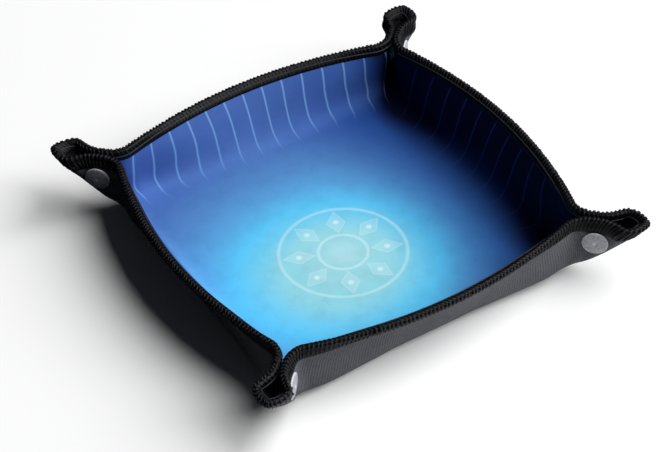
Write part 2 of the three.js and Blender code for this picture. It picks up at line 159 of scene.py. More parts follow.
def rise_at(distance):
    """The four points of the curve that rises from the floor to the rim."""
    rim_x, rim_y, heading = rim_at(distance)
    foot_x, foot_y, share = floor_at(distance)
    cornerness = smoothstep(share, 0.25, 0.95)
    upright = smoothstep(distance, leg_ends[1] * 0.55, leg_ends[2])
    eared = smoothstep(distance, leg_ends[1], RIM_LENGTH)
    lifted = smoothstep(distance, leg_ends[1] * 0.4, leg_ends[3])
    out_x, out_y = lerp(1, ROOT_HALF, cornerness), lerp(0, ROOT_HALF, cornerness)
    size = lerp(FLOOR_HANDLE, CORNER_HANDLE, cornerness) / np.hypot(out_x, out_y)
    level_line = np.zeros_like(distance)
    foot = np.stack([foot_x, foot_y, level_line + HALF_SHEET], -1)
    foot_handle = np.stack([out_x * size, out_y * size, level_line], -1)
    top = np.stack([rim_x, rim_y, HALF_SHEET + lerp(WALL_HEIGHT, EAR_HEIGHT, lifted)], -1)
    wall = leaning(np.sin(heading), -np.cos(heading), WALL_LEAN + level_line, RIM_HANDLE)
    flap = leaning(ROOT_HALF, ROOT_HALF, lerp(FLAP_LEAN, FOLD_LEAN, eared),
                   lerp(RIM_HANDLE, EAR_HANDLE, eared))
    top_handle = lerp(wall, flap, upright[..., None])
    return foot, foot + foot_handle, top - top_handle, top


def curve_at(points, share):
    share = np.asarray(share)[..., None]
    left = 1 - share
    a, b, c, d = points
    return a * left ** 3 + 3 * b * left ** 2 * share + 3 * c * left * share ** 2 + d * share ** 3


fold_line = curve_at([p[None] for p in rise_at(np.array(RIM_LENGTH))], np.linspace(0, 1, 121))
fold_line = np.stack([np.hypot(fold_line[:, 0], fold_line[:, 1]), fold_line[:, 2]], -1)


def height_above_fold(along, z):
    place = np.stack([along, z], -1).reshape(-1, 2)
    nearest = np.full(len(place), 1e9)
    for a, b in zip(fold_line[:-1], fold_line[1:]):
        share = np.clip(((place - a) @ (b - a)) / ((b - a) @ (b - a)), 0, 1)
        nearest = np.minimum(nearest, np.linalg.norm(place - a - share[:, None] * (b - a), axis=1))
    return nearest.reshape(np.shape(along))


def middle_of_mat(distance, share):
    """The mat's middle surface; a distance past an end of the eighth comes from its mirror image."""
    distance, share = np.broadcast_arrays(np.asarray(distance, float), np.asarray(share, float))
    before, beyond = distance < 0, distance > RIM_LENGTH
    inside = np.where(beyond, 2 * RIM_LENGTH - distance, np.abs(distance))
    place = curve_at(rise_at(inside), share)
    along = (place[..., 0] + place[..., 1]) * ROOT_HALF
    off = (place[..., 0] - place[..., 1]) * ROOT_HALF
    z = place[..., 2]
    rounded = smoothstep(along, PINCH_REACH - ROUNDING_RUN, PINCH_REACH)
    from_snap = np.hypot(along - SNAP_REACH, z - SNAP_HEIGHT)
    pressed = 1 - smoothstep(from_snap, CAP_RADIUS, CAP_RADIUS + PRESSED_WIDTH)
    wide = np.where(rounded > 0, lerp(off, FLAP_OFFSET, pressed), off)
    short = np.maximum(wide - height_above_fold(along, z), 0)
    off = lerp(wide, np.sqrt(np.maximum(wide ** 2 - short ** 2, 0)), rounded)
    leaning_in = smoothstep(inside, leg_ends[2] - 4, leg_ends[2] + 3)
    leaning_in = leaning_in * (1 - smoothstep(inside, leg_ends[3] - 3, leg_ends[3] + 7))
    off = off - LEAN_IN * leaning_in * smoothstep(z, SNAP_HEIGHT + CAP_RADIUS - 1, HALF_SHEET + EAR_HEIGHT)
    x, y = (along + off) * ROOT_HALF, (along - off) * ROOT_HALF
    y = np.where(before, -y, y)
    return np.stack([np.where(beyond, y, x), np.where(beyond, x, y), z], -1)


def outward_of_mat(distance, share):
    """Unit normal of that surface, on the rubber's side."""
    distance, share = np.broadcast_arrays(np.asarray(distance, float), np.asarray(share, float))
    across = middle_of_mat(distance + 0.1, share) - middle_of_mat(distance - 0.1, share)
    upper = np.minimum(share + 0.005, 1)
    lower = np.maximum(share - 0.005, 0)
    normal = np.cross(across, middle_of_mat(distance, upper) - middle_of_mat(distance, lower))
    normal = normal / np.maximum(np.linalg.norm(normal, axis=-1, keepdims=True), 1e-9)
    return np.where(share[..., None] <= 0, np.array([0, 0, -1.0]), normal)


# The quarter of the mat around the ear at +45, as a grid, with where each point lay on the flat mat
ROWS = 30
FLAT_HALF, FLAT_CORNER = 112, 9
quarter_columns = np.concatenate([columns, 2 * RIM_LENGTH - columns[-2::-1]])
row_shares = np.linspace(0, 1, ROWS + 1)
grid_distance, grid_share = np.meshgrid(quarter_columns, row_shares, indexing="ij")
grid_place = middle_of_mat(grid_distance, grid_share)
grid_normal = outward_of_mat(grid_distance, grid_share)
walked = np.minimum(quarter_columns, 2 * RIM_LENGTH - quarter_columns)
walked = walked * (FLAT_HALF - FLAT_CORNER + FLAT_CORNER * math.pi / 4) / RIM_LENGTH
turned = np.maximum(walked - FLAT_HALF + FLAT_CORNER, 0) / FLAT_CORNER
flat_x = FLAT_HALF - FLAT_CORNER + FLAT_CORNER * np.cos(turned)
flat_y = np.minimum(walked, FLAT_HALF - FLAT_CORNER) + FLAT_CORNER * np.sin(turned)
swap = quarter_columns > RIM_LENGTH
flat_rim = np.stack([np.where(swap, flat_y, flat_x), np.where(swap, flat_x, flat_y)], -1)
steps = np.linalg.norm(np.diff(grid_place, axis=1), axis=-1)
climbed = np.concatenate([np.zeros((len(steps), 1)), np.cumsum(steps, axis=1)], 1)
climbed = (climbed / climbed[:, -1:])[..., None]
grid_flat = lerp(grid_place[:, :1, :2], flat_rim[:, None], climbed)

# How an ear opens: past the pinch the mat turns with its flap, except at the fold, which stays put.
# Towards the wall the turn fades out. These lines in the diagonal plane, as (reach, height), part the
# mat where one fading gives way to the next.
HINGE_DROP = 114.5
FOLD_STILL, FOLD_FREE = 6.1, 8.9
fold_still = (PINCH_REACH, PINCH_REACH - HINGE_DROP + FOLD_STILL / ROOT_HALF)
fold_free = (PINCH_REACH, PINCH_REACH - HINGE_DROP + FOLD_FREE / ROOT_HALF)
WALL_STILL_LOW, WALL_STILL_HIGH = (100, 6), (72, 27)


def in_diagonal(reach, height, off=0):
    return Vector(((reach + off) * ROOT_HALF, (reach - off) * ROOT_HALF, height))


def beside(a, b, toward):
    """The plane through two points of the diagonal plane, facing a third."""
    normal = Vector((-(b[1] - a[1]), b[0] - a[0])).normalized()
    if normal.dot(Vector(toward) - Vector(a)) < 0:
        normal = -normal
    return in_diagonal(*a), in_diagonal(*normal), normal.dot(Vector(toward) - Vector(a))


def away(plane):
    return plane[0], -plane[1], plane[2]


outer_half = (in_diagonal(PINCH_REACH, 0), in_diagonal(1, 0), 1)
inner_half = away(outer_half)
above_fan = beside(fold_free, WALL_STILL_HIGH, (PINCH_REACH, 60))
above_sliver = beside(fold_free, WALL_STILL_LOW, (PINCH_REACH, 60))
above_valley = beside(fold_still, WALL_STILL_LOW, fold_free)
beyond_wall = beside(WALL_STILL_LOW, WALL_STILL_HIGH, fold_free)
along_hinge = beside(fold_still, (fold_still[0] + 10, fold_still[1] + 10), fold_free)
fade_in_wall = beside((WALL_STILL_HIGH[0], 0), (WALL_STILL_HIGH[0], 60), fold_free)
# Each part of the mat near an ear: the planes that cut it out, and the plane that its turn grows from
REGIONS = {
    "ear": ([outer_half], along_hinge),
    "wall_end": ([inner_half, above_fan], fade_in_wall),
    "fan": ([inner_half, away(above_fan), above_sliver, beyond_wall], beyond_wall),
    "sliver": ([inner_half, away(above_sliver), above_valley], above_valley),
}
SIDES = {"stud": (in_diagonal(0, 0), in_diagonal(0, 0, 1), 1)}
SIDES["socket"] = away(SIDES["stud"])


def quarter_mesh():
    mesh = bmesh.new()
    normals = mesh.verts.layers.float_vector.new("outward")
    flats = mesh.verts.layers.float_vector.new("flat")
    centre = mesh.verts.new((0, 0, HALF_SHEET))
    centre[normals] = (0, 0, -1)
    verts = []
    for i in range(len(quarter_columns)):
        for j in range(ROWS + 1):
            vert = mesh.verts.new(grid_place[i, j])
            vert[normals] = grid_normal[i, j]
            vert[flats] = (*grid_flat[i, j], SQUEEZED_SHARE * smoothstep(row_shares[j], SQUEEZED_FROM, 1))
            verts.append(vert)
    size = ROWS + 1
    for i in range(len(quarter_columns) - 1):
        mesh.faces.new((centre, verts[(i + 1) * size], verts[i * size]))
        for j in range(ROWS):
            a, b = i * size + j, (i + 1) * size + j
            mesh.faces.new((verts[a], verts[b], verts[b + 1], verts[a + 1]))
    return mesh


def cut_out(source, planes):
    mesh = source.copy()
    for point, normal, _ in planes:
        everything = mesh.verts[:] + mesh.edges[:] + mesh.faces[:]
        bmesh.ops.bisect_plane(mesh, geom=everything, dist=1e-5, plane_co=point, plane_no=normal,
                               clear_inner=True)
    return mesh


def layer_piece(name, mats, outer, inner):
    """A closed thin piece between two distances from the middle surface, from cut and turned parts."""
    places, faces, normals, flats = [], [], [], []
    for mesh, turn in mats:
        mesh.verts.index_update()
        spin = np.array(Matrix.Rotation(turn * math.pi / 2, 3, "Z"))
        start = len(places)
        outward = mesh.verts.layers.float_vector["outward"]
        flat = mesh.verts.layers.float_vector["flat"]
        places += [spin @ np.array(v.co) for v in mesh.verts]
        normals += [spin @ np.array(v[outward]) for v in mesh.verts]
        flats += [spin @ np.array(v[flat]) for v in mesh.verts]
        faces += [[start + v.index for v in face.verts] for face in mesh.faces]
    places, normals, flats = np.array(places), np.array(normals), np.array(flats)
    joined = bmesh.new()
    for place in places:
        joined.verts.new(place)
    joined.verts.ensure_lookup_table()
    for face in faces:
        joined.faces.new([joined.verts[i] for i in face])
    joined.verts.index_update()
    keys = joined.verts.layers.int.new("key")
    for vert in joined.verts:
        vert[keys] = vert.index
    bmesh.ops.remove_doubles(joined, verts=joined.verts, dist=1e-3)
    joined.verts.index_update()
    kept = [vert[keys] for vert in joined.verts]
    places, normals, flats = places[kept], normals[kept], flats[kept]
    normals /= np.linalg.norm(normals, axis=1, keepdims=True)
    faces = [[v.index for v in face.verts] for face in joined.faces]
    rims = [(e.link_loops[0].vert.index, e.link_loops[0].link_loop_next.vert.index)
            for e in joined.edges if len(e.link_faces) == 1]
    joined.free()
    count = len(places)
    thinned = normals * (1 - flats[:, 2:])
    skins = np.concatenate([places + thinned * outer, places + thinned * inner]) * MM
    quads = faces + [[i + count for i in reversed(face)] for face in faces]
    quads += [[b, a, a + count, b + count] for a, b in rims]
    data = bpy.data.meshes.new(name)
    data.from_pydata([tuple(p) for p in skins], [], quads)
    layer = data.uv_layers.new(name="flat")
    corner_verts = np.zeros(len(data.loops), int)
    data.loops.foreach_get("vertex_index", corner_verts)
    both = np.concatenate([flats, flats])[:, :2] / 100
    layer.data.foreach_set("uv", both[corner_verts].astype(np.float32).ravel())
    smooth = np.concatenate([normals, -normals])[corner_verts]
    rim_corners = 2 * sum(len(face) for face in faces)
    for k, (a, b) in enumerate(rims):
        edge = Vector(skins[b] - skins[a]).cross(Vector(normals[a])).normalized()
        smooth[rim_corners + 4 * k:rim_corners + 4 * k + 4] = edge
    data.polygons.foreach_set("use_smooth", [True] * len(data.polygons))
    data.normals_split_custom_set([tuple(n) for n in smooth])
    piece = bpy.data.objects.new(name, data)
    bpy.context.scene.collection.objects.link(piece)
    return piece


# The cuts are made at the middle surface. At the mat's two faces, up to 1.7 mm off it, neighbouring
# parts therefore don't bend quite alike, and narrow slits show beside the fold of an open ear.
quarter = quarter_mesh()
still_parts = [cut_out(quarter, [away(beyond_wall), away(above_fan)]),
               cut_out(quarter, [beyond_wall, away(above_valley), inner_half])]
mat_parts = {(region, kind): cut_out(quarter, planes + [SIDES[kind]])
             for region, (planes, _) in REGIONS.items() for kind in SIDES}


def bend_with_flap(piece, region, turn):
    point, normal, reach = REGIONS[region][1]
    spin = Matrix.Rotation(turn * math.pi / 2, 3, "Z")
    start = spin @ point * MM
    start + spin @ normal * reach * MM
    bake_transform(piece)


def make_layer(name, outer, inner, still_node, flap_node):
    """The whole of one layer of the mat, as its still middle and the parts cut out round each ear."""
    middle = layer_piece(f"{name}_middle", [(part, turn) for part in still_parts for turn in range(4)],
                         outer, inner)
    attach(middle, "mat")
    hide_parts(still_node)
    made = [middle]
    for turn, corner in enumerate(CORNERS):
        for (region, kind), part in mat_parts.items():
            piece = layer_piece(f"{name}_{region}_{corner}_{kind}", [(part, turn)], outer, inner)
            bend_with_flap(piece, region, turn)
            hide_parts(f"{flap_node}_{corner}_{kind}" if region == "ear" else still_node)
            made.append(piece)
    return made


class Wire:
    """One socket of a material; arithmetic on it adds the nodes."""

    def __init__(self, tree, socket=None):
        self.tree, self.socket = tree, socket

    def node(self, kind, settings=None, output=0, **inputs):
        made = self.tree.nodes.new("ShaderNode" + kind)
        for key, value in (settings or {}).items():
            if key == "stops":
                stops = made.color_ramp.elements
                stops[0].color, stops[1].color = (*value[0][1], 1), (*value[-1][1], 1)
                for at, colour in value[1:-1]:
                    stops.new(at).color = (*colour, 1)
            else:
                setattr(made, key, value)
        for key, value in inputs.items():
            name = key.strip("_").replace("_", " ")
            numbered = name[0] == "i" and name[1:].isdigit()
            socket = made.inputs[int(name[1:]) if numbered else name]
            if isinstance(value, Wire):
                self.tree.links.new(value.socket, socket)
            else:
                socket.default_value = value
        return Wire(self.tree, made.outputs[output])

    def math(self, operation, *others, clamp=False):
        values = {f"i{n}": value for n, value in enumerate((self, *others))}
        return self.node("Math", {"operation": operation, "use_clamp": clamp}, **values)

    def __add__(self, other): return self.math("ADD", other)
    __radd__ = __add__
    def __mul__(self, other): return self.math("MULTIPLY", other)
    __rmul__ = __mul__
    def __sub__(self, other): return self.math("SUBTRACT", other)
    def __rsub__(self, other): return (self * -1) + other
    def __truediv__(self, other): return self.math("DIVIDE", other)
    def __pow__(self, other): return self.math("POWER", other)

    def between(self, low, high):
        return self.node("MapRange", {"interpolation_type": "SMOOTHSTEP"}, Value=self,
                         From_Min=low, From_Max=high)

    def mixed(self, under, cover):
        """A colour that goes from one to the other with this socket."""
        return self.node("Mix", {"data_type": "RGBA"}, output=2, i0=self,
                         i6=under if isinstance(under, Wire) else (*under, 1),
                         i7=cover if isinstance(cover, Wire) else (*cover, 1))


def new_finish(name, **sockets):
    """A material with its Principled shader's sockets set, and a wire to make nodes with."""
    finish = bpy.data.materials.new(name)
    finish.use_nodes = True
    shader = finish.node_tree.nodes["Principled BSDF"]
    for key, value in sockets.items():
        shader.inputs[key.replace("_", " ")].default_value = value
    return finish, Wire(finish.node_tree), shader


def feed(shader, **wires):
    for key, wire in wires.items():
        wire.tree.links.new(wire.socket, shader.inputs[key.replace("_", " ")])


backing, wire, shader = new_finish("ribbed_rubber", Roughness=0.72, Specular_IOR_Level=0.2)
spot = wire.node("TexCoord", output=3)
flat = wire.node("UVMap", {"uv_map": "flat"})
flat_u = flat.node("SeparateXYZ", Vector=flat)
flat_v = flat.node("SeparateXYZ", output=1, Vector=flat)
wander = wire.node("TexNoise", Vector=flat, Scale=14, Detail=2)
rib = ((flat_v * 100 + wander * 0.5) * (2 * math.pi / 1.25)).math("SINE")
knit = ((flat_u * 100 + wander * 0.5) * (2 * math.pi / 0.9)).math("SINE")
weave = rib * 0.65 + knit * 0.35
wear = wire.node("TexNoise", Vector=spot, Scale=60, Detail=4, Roughness=0.6)
speck = wire.node("TexNoise", Vector=spot, Scale=1100, Detail=2)
tone = (weave * 0.18 + wear * 0.42 + speck * 0.58).math("MULTIPLY", 1, clamp=True)
feed(shader, Base_Color=tone.mixed((0.020, 0.022, 0.026), (0.155, 0.160, 0.175)))
bump = wire.node("Bump", Strength=0.6, Distance=0.0003, Height=weave * 0.5 + speck * 0.6)
feed(shader, Normal=bump, Roughness=wear * 0.15 + 0.66)

# Where the rubber ends and the cloth begins, as distances outwards from the middle surface
RUBBER_INNER, CLOTH_OUTER = -1.28, -1.3


def flat_area(piece):
    """The area of a piece of the mat on the flat cut, in square metres, from its flat map."""
    mesh = bmesh.new()
    mesh.from_mesh(piece.data)
    flat_map = mesh.loops.layers.uv["flat"]
    for face in mesh.faces:
        for loop in face.loops:
            loop.vert.co = (*loop[flat_map].uv * 0.1, 0)
    area = sum(face.calc_area() for face in mesh.faces) / 2
    mesh.free()
    return area


rubber_pieces = make_layer("rubber", HALF_SHEET, RUBBER_INNER, "rubber_mat", "rubber_flap")
for piece in rubber_pieces:
    piece.data.materials.append(backing)
flat_area(rubber_pieces[0])

# The printed cloth
# One smooth polyester sheet of the same cut, printed in blues and bonded to the rubber's inner face.
# Its print runs from a pale glow near the middle out to navy, with thin rays in from two edges.
print_ink, wire, shader = new_finish("printed_cloth", Roughness=0.75, Specular_IOR_Level=0.12)
flat = wire.node("UVMap", {"uv_map": "flat"})
flat_x = flat.node("SeparateXYZ", Vector=flat) * 100
flat_y = flat.node("SeparateXYZ", output=1, Vector=flat) * 100
from_glow = ((flat_x - 20) ** 2 + ((flat_y + 16) * 0.93) ** 2) ** 0.5
glow = wire.node("ValToRGB", {"stops": [
    (0.0, (0.30, 0.66, 0.72)), (0.18, (0.27, 0.66, 0.76)), (0.27, (0.15, 0.60, 0.86)),
    (0.33, (0.10, 0.56, 0.90)), (0.43, (0.095, 0.36, 0.70)), (0.54, (0.082, 0.24, 0.54)),
    (0.68, (0.062, 0.155, 0.43)), (0.86, (0.048, 0.11, 0.37)), (1.0, (0.036, 0.08, 0.32))]},
    Fac=from_glow / 140)
toward_back = flat_y + (flat_x / 70) ** 2 * 9
shade = (toward_back.between(8, 78) * 0.85).mixed(glow, (0.006, 0.055, 0.28))
aside = flat_x.math("ABSOLUTE").between(10, 65)
shade = flat_y.between(aside * 4 + 52, aside * -22 + 94).mixed(shade, (0.001, 0.002, 0.026))
# Painted light: the print on the -X wall, away from its back corner, is lightened to make up for the dim
# light that wall gets.
shade = ((flat_x * -1).between(66, 90) * flat_y.between(74, 54) * 0.5).mixed(shade, (0.075, 0.16, 0.45))
mottle = wire.node("TexNoise", Vector=flat, Scale=9, Detail=6, Roughness=0.65)
shade = (mottle.between(0.38, 0.75) * 0.11).mixed(shade, (0.004, 0.012, 0.06))
# Halfway up the wall the lines draw in towards its middle
drawn_in = (flat_x * -1).between(110, 92) * (flat_x * -1).between(72, 86) * 0.05 + 1
left_line = (((flat_y * drawn_in + 3) / 10.8 + 0.5).math("FRACT") - 0.5).math("ABSOLUTE").between(0.075, 0.0)
back_line = ((flat_x / 11.4 + 0.5).math("FRACT") - 0.5).math("ABSOLUTE").between(0.065, 0.0)
inside_left = flat_y.math("ABSOLUTE").between(82, 76)
inside_back = (flat_x + 5).math("ABSOLUTE").between(62, 48)
inked = (left_line * (flat_x * -1).between(66, 92) * inside_left * 0.6).mixed(shade, (0.25, 0.50, 0.85))
inked = (back_line * flat_y.between(60, 100) * inside_back * 0.30).mixed(inked, (0.08, 0.16, 0.50))
# Two thin rings with lozenges between them, pale on the glow
ring_x, ring_y = flat_x - 12, flat_y + 8
ring = (ring_x ** 2 + ring_y ** 2) ** 0.5
outer_ring = (ring - 31).math("ABSOLUTE").between(1.5, 0.2)
inner_ring = (ring - 12).math("ABSOLUTE").between(1.3, 0.2)
angle = ring_y.math("ARCTAN2", ring_x) * (8 / (2 * math.pi))
petal = ((angle.math("FRACT") - 0.5).math("ABSOLUTE")) * (2 * math.pi / 8) * ring
reach = (ring - 21.5).math("ABSOLUTE")
inside = (petal + reach * 0.62).between(4.9, 3.6)
border = ((petal + reach * 0.62) - 4.5).math("ABSOLUTE").between(0.8, 0.1)
pip = ((petal ** 2 + reach ** 2) ** 0.5).between(2.2, 0.9)
haze = ring.between(36, 2) * 0.12 + ring.between(11, 3) * 0.16
motif = (outer_ring * 0.30).math("MAXIMUM", inner_ring * 0.34).math("MAXIMUM", inside * 0.16)
motif = motif.math("MAXIMUM", border * 0.26).math("MAXIMUM", pip * 0.6) + haze
inked = motif.mixed(inked, (0.72, 0.93, 0.95))
# Painted shade: the cloth inside each ear, between its flaps, is darkened to near black.
painted_shade_in_ear = flat_x.math("ABSOLUTE").math("MINIMUM", flat_y.math("ABSOLUTE")).between(76, 86)
inked = painted_shade_in_ear.mixed(inked, (0.0005, 0.001, 0.003))
feed(shader, Base_Color=inked)
threads = (flat_x * (2 * math.pi / 0.45)).math("SINE") * (flat_y * (2 * math.pi / 0.45)).math("SINE")
feed(shader, Normal=wire.node("Bump", Strength=0.15, Distance=0.0001, Height=threads))

cloth_pieces = make_layer("cloth", CLOTH_OUTER, -HALF_SHEET, "printed_cloth", "cloth_flap")
for piece in cloth_pieces:
    piece.data.materials.append(print_ink)
flat_area(cloth_pieces[0])

# The overlocked edging
# Black thread sewn over the mat's edge: a close band on both faces, evenly spaced strands over the
# rim that show as two rows outside, and one thin grey cord inside. Its ends overlap on the +X rim.
PITCH_COUNT, EDGE_CLIMB = 56, 44.0


def on_edge(distance, rise, offset):
    """A place by its distance along the rim, its height over the rim and its offset outwards."""
    given = [np.asarray(value, float) for value in (distance, rise, offset)]
    distance, rise, offset = np.broadcast_arrays(*given)
    turns, within = np.divmod(distance, 2 * RIM_LENGTH)
    share = 1 + np.minimum(rise, 0) / EDGE_CLIMB
    place = middle_of_mat(within, share)
    normal = outward_of_mat(within, share)
    upward = middle_of_mat(within, np.ones_like(share)) - middle_of_mat(within, np.full_like(share, 0.97))
    upward /= np.linalg.norm(upward, axis=-1, keepdims=True)
    squeezed = offset * (1 - SQUEEZED_SHARE * smoothstep(share, SQUEEZED_FROM, 1))
    place = place + normal * squeezed[..., None] + upward * np.maximum(rise, 0)[..., None]
    angle = turns * math.pi / 2
    x = place[..., 0] * np.cos(angle) - place[..., 1] * np.sin(angle)
    y = place[..., 0] * np.sin(angle) + place[..., 1] * np.cos(angle)
    return np.stack([x, y, place[..., 2]], -1)


def swept(rings):
    """Vertices and faces of tubes: rings[n, k, m] is point m of ring k of tube n, with pole ends."""
    tubes, count, size, _ = rings.shape
    verts, faces = rings.reshape(-1, 3), []
    for tube in range(tubes):
        base = tube * count * size
        for k in range(count - 1):
            for m in range(size):
                n = (m + 1) % size
                a, b = base + k * size, base + (k + 1) * size
                faces.append((a + m, a + n, b + n, b + m))
        faces.append(tuple(base + m for m in reversed(range(size))))
        faces.append(tuple(base + (count - 1) * size + m for m in range(size)))
    return verts, faces


def tube_rings(path, radius, sides):
    """Rings round paths[n, k], each with its own radius."""
    ahead = np.gradient(path, axis=1)
    ahead /= np.linalg.norm(ahead, axis=-1, keepdims=True)
    chord = path[:, -1:] - path[:, :1]
    bulge = path[:, len(path[0]) // 2, None] - (path[:, :1] + path[:, -1:]) / 2
    side = np.cross(ahead, np.cross(chord, bulge) + 1e-9)
    side /= np.linalg.norm(side, axis=-1, keepdims=True)
    third = np.cross(ahead, side)
    angles = np.linspace(0, 2 * math.pi, sides, endpoint=False)
    around = (side[:, :, None] * np.cos(angles)[:, None] + third[:, :, None] * np.sin(angles)[:, None])
    return path[:, :, None] + around * np.asarray(radius)[..., None, None]


BAND = [(-4.7, 1.72), (-4.6, 1.92), (-2.5, 1.98), (-0.4, 1.92), (0.3, 1.65), (0.55, 0), (0.3, -1.65),
        (-0.4, -1.92), (-2.5, -1.98), (-3.8, -1.92), (-3.9, -1.72), (-2.5, -1.71), (0.02, -1.71),
        (0.02, 1.71), (-2.5, 1.71)]
# Strands as rows of (height over the rim, offset outwards, lean along the rim, radius)
OUTER_STRAND = np.array([
    (0.55, 0.10, 0.75, 0.22), (0.52, 0.85, 0.35, 0.66), (0.22, 1.50, 0.0, 0.78),
    (-0.45, 1.98, -0.25, 0.52), (-1.5, 2.00, -0.5, 0.20), (-2.3, 2.08, -0.7, 0.40),
    (-3.4, 2.08, -0.9, 0.42), (-4.1, 1.92, -1.05, 0.22), (-4.5, 1.75, -1.1, 0.12)])
INNER_STRAND = np.array([
    (0.45, 0.45, 1.0, 0.20), (0.50, -0.25, 0.55, 0.40), (0.36, -1.05, 0.1, 0.44),
    (-0.2, -1.72, -0.3, 0.40), (-1.3, -2.02, -0.7, 0.30), (-2.6, -2.02, -1.1, 0.26),
    (-3.6, -1.85, -1.4, 0.12)])
STATION_LENGTH, CORD_RADIUS, CORD_RISE, CORD_OFFSET = 1.3, 0.3, -1.9, -2.30
LEAN_WOBBLE, RADIUS_WOBBLE = 0.14, 0.08
# Where the thread's two ends overlap, in the +X wall's rim, and how far it stands up and swells there
THREAD_END = 8 * RIM_LENGTH - 39.5
OVERLAP_RUN, OVERLAP_RISE, OVERLAP_SWELL = 2.6, 0.5, 0.4


def edging_piece(name, start, end):
    """The edging from one distance along the rim to another."""
    length = end - start
    stations = np.linspace(start, end, max(int(length / STATION_LENGTH), 4))
    section = np.array(BAND)
    rings = on_edge(stations[:, None], section[None, :, 0], section[None, :, 1])[None]
    verts, faces = swept(rings[:, :, ::-1])
    pitch = RIM_LENGTH / PITCH_COUNT
    centres = (np.arange(math.ceil(start / pitch - 0.5), math.ceil(end / pitch - 0.5)) + 0.5) * pitch
    uneven = np.random.default_rng(int(start * 7) + 2000)
    wobble = uneven.normal(0, 1, (len(centres), 2))[:, None]
    groups = [(verts, faces, 0)]
    for strand in (OUTER_STRAND, INNER_STRAND):
        lean = strand[None, :, 2] + LEAN_WOBBLE * wobble[..., 0]
        doubled = np.exp(-((centres[:, None] - THREAD_END) / OVERLAP_RUN) ** 2)
        rise = strand[None, :, 0] + OVERLAP_RISE * doubled
        path = on_edge(centres[:, None] + lean, rise, strand[None, :, 1])
        radius = strand[None, :, 3] * (1 + RADIUS_WOBBLE * wobble[..., 1] + OVERLAP_SWELL * doubled)
        groups.append((*swept(tube_rings(path, radius, 6)), 1))
    cord = on_edge(stations[None], CORD_RISE, CORD_OFFSET)
    groups.append((*swept(tube_rings(cord, np.full(cord.shape[:2], CORD_RADIUS), 6)), 2))
    total, finishes, shift = [], [], 0
    for group, shapes, finish in groups:
        total += [tuple(i + shift for i in shape) for shape in shapes]
        finishes += [finish] * len(shapes)
        shift += len(group)
    data = bpy.data.meshes.new(name)
    data.from_pydata([tuple(p) for p in np.concatenate([group[0] for group in groups]) * MM], [], total)
    mesh = bmesh.new()
    mesh.from_mesh(data)
    bmesh.ops.recalc_face_normals(mesh, faces=mesh.faces)
    for face in mesh.faces:
        if len(face.verts) > 4:
            for edge in face.edges:
                edge.smooth = False
    mesh.to_mesh(data)
    mesh.free()
    data.polygons.foreach_set("use_smooth", [True] * len(data.polygons))
    for finish in edging_finishes:
        data.materials.append(finish)
    data.polygons.foreach_set("material_index", finishes)
    piece = bpy.data.objects.new(name, data)
    bpy.context.scene.collection.objects.link(piece)
    return piece


def thread_finish(name, dark, pale):
    """Fuzzy twisted thread."""
    finish, wire, shader = new_finish(name, Specular_IOR_Level=0.13)
    fuzz = wire.node("TexNoise", Vector=wire.node("TexCoord", output=3), Scale=900, Detail=3)
    feed(shader, Base_Color=fuzz.between(0.3, 0.7).mixed(dark, pale), Roughness=fuzz * 0.3 + 0.28)
    feed(shader, Normal=wire.node("Bump", Strength=0.35, Distance=0.0002, Height=fuzz))
    return finish


# The strands are a little paler than the band, though it is all one black thread: painted highlights on the
# stitches.
edging_finishes = [thread_finish("black_band", (0.001, 0.001, 0.0015), (0.003, 0.003, 0.004)),
                   thread_finish("black_thread", (0.002, 0.002, 0.003), (0.022, 0.022, 0.026)),
                   thread_finish("grey_cord", (0.030, 0.030, 0.034), (0.042, 0.043, 0.048))]

pinch_start = leg_ends[2]
# A wall strip ends where its rim reaches the upper end of the line up to which the wall stays still
toward_pinch = np.linspace(0, pinch_start, 400)
rim_x, rim_y, _ = rim_at(toward_pinch)
still_end = float(np.interp(WALL_STILL_HIGH[0], (rim_x + rim_y) * ROOT_HALF, toward_pinch))
WALLS = ["right", "back", "left", "front"]
for turn, (wall, corner) in enumerate(zip(WALLS, CORNERS)):
    base = turn * 2 * RIM_LENGTH
    strip = edging_piece(f"overlock_{wall}", base - still_end, base + still_end)
    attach(strip, "mat")
    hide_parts(f"edging_{wall}")
    tip = base + RIM_LENGTH
    runs = {
        ("wall_end", "stud", wall): (base + still_end, base + pinch_start),
        ("ear", "stud", wall): (base + pinch_start, tip),
        ("ear", "socket", wall): (tip, tip + RIM_LENGTH - pinch_start),
        ("wall_end", "socket", WALLS[(turn + 1) % 4]): (tip + RIM_LENGTH - pinch_start,
                                                       tip + RIM_LENGTH - still_end),
    }
    for (region, kind, near), (start, end) in runs.items():
        piece = edging_piece(f"overlock_{region}_{corner}_{kind}", start, end)
        bend_with_flap(piece, region, turn)
        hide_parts(f"edging_flap_{corner}_{kind}" if region == "ear" else f"edging_{near}")

# The press studs
# Grey plastic snaps. Each cap is moulded in one with the post that goes through its flap. On the
# cloth side one flap has a stud on that post and the other a socket.
SEAT = 0.15
CAP_PROFILE = [(0, -4.55), (1.05, -4.55), (1.05, -4.3), (0.75, -4.3), (0.75, SEAT), (5.9, SEAT),
               (6.15, 0.28), (6.2, 0.5), (6.1, 0.78), (5.75, 1.0), (5.1, 1.1), (3.2, 1.4),
               (1.5, 1.55), (1.15, 1.5), (0.95, 1.28), (0.5, 1.22), (0.35, 1.36), (0, 1.4)]
STUD_PROFILE = [(0.9, -0.75), (1.3, -0.75), (1.3, -2.1), (1.5, -2.15), (1.75, -2.1), (1.9, -1.75),
                (1.85, -1.5), (1.65, -1.0), (1.7, -0.78), (5.25, -0.75), (5.35, -0.65),
                (5.35, -0.25), (5.25, -SEAT), (0.9, -SEAT), (0.9, -0.75)]
SOCKET_PROFILE = [(0.9, -0.75), (2.6, -0.75), (2.6, -1.75), (2.4, -1.95), (2.45, -2.1), (3.6, -2.15),
                  (3.8, -2.0), (3.8, -0.78), (5.25, -0.75), (5.35, -0.65), (5.35, -0.25),
                  (5.25, -SEAT), (0.9, -SEAT), (0.9, -0.75)]
TURNING_STEPS, SMOOTH_BELOW = 48, 32


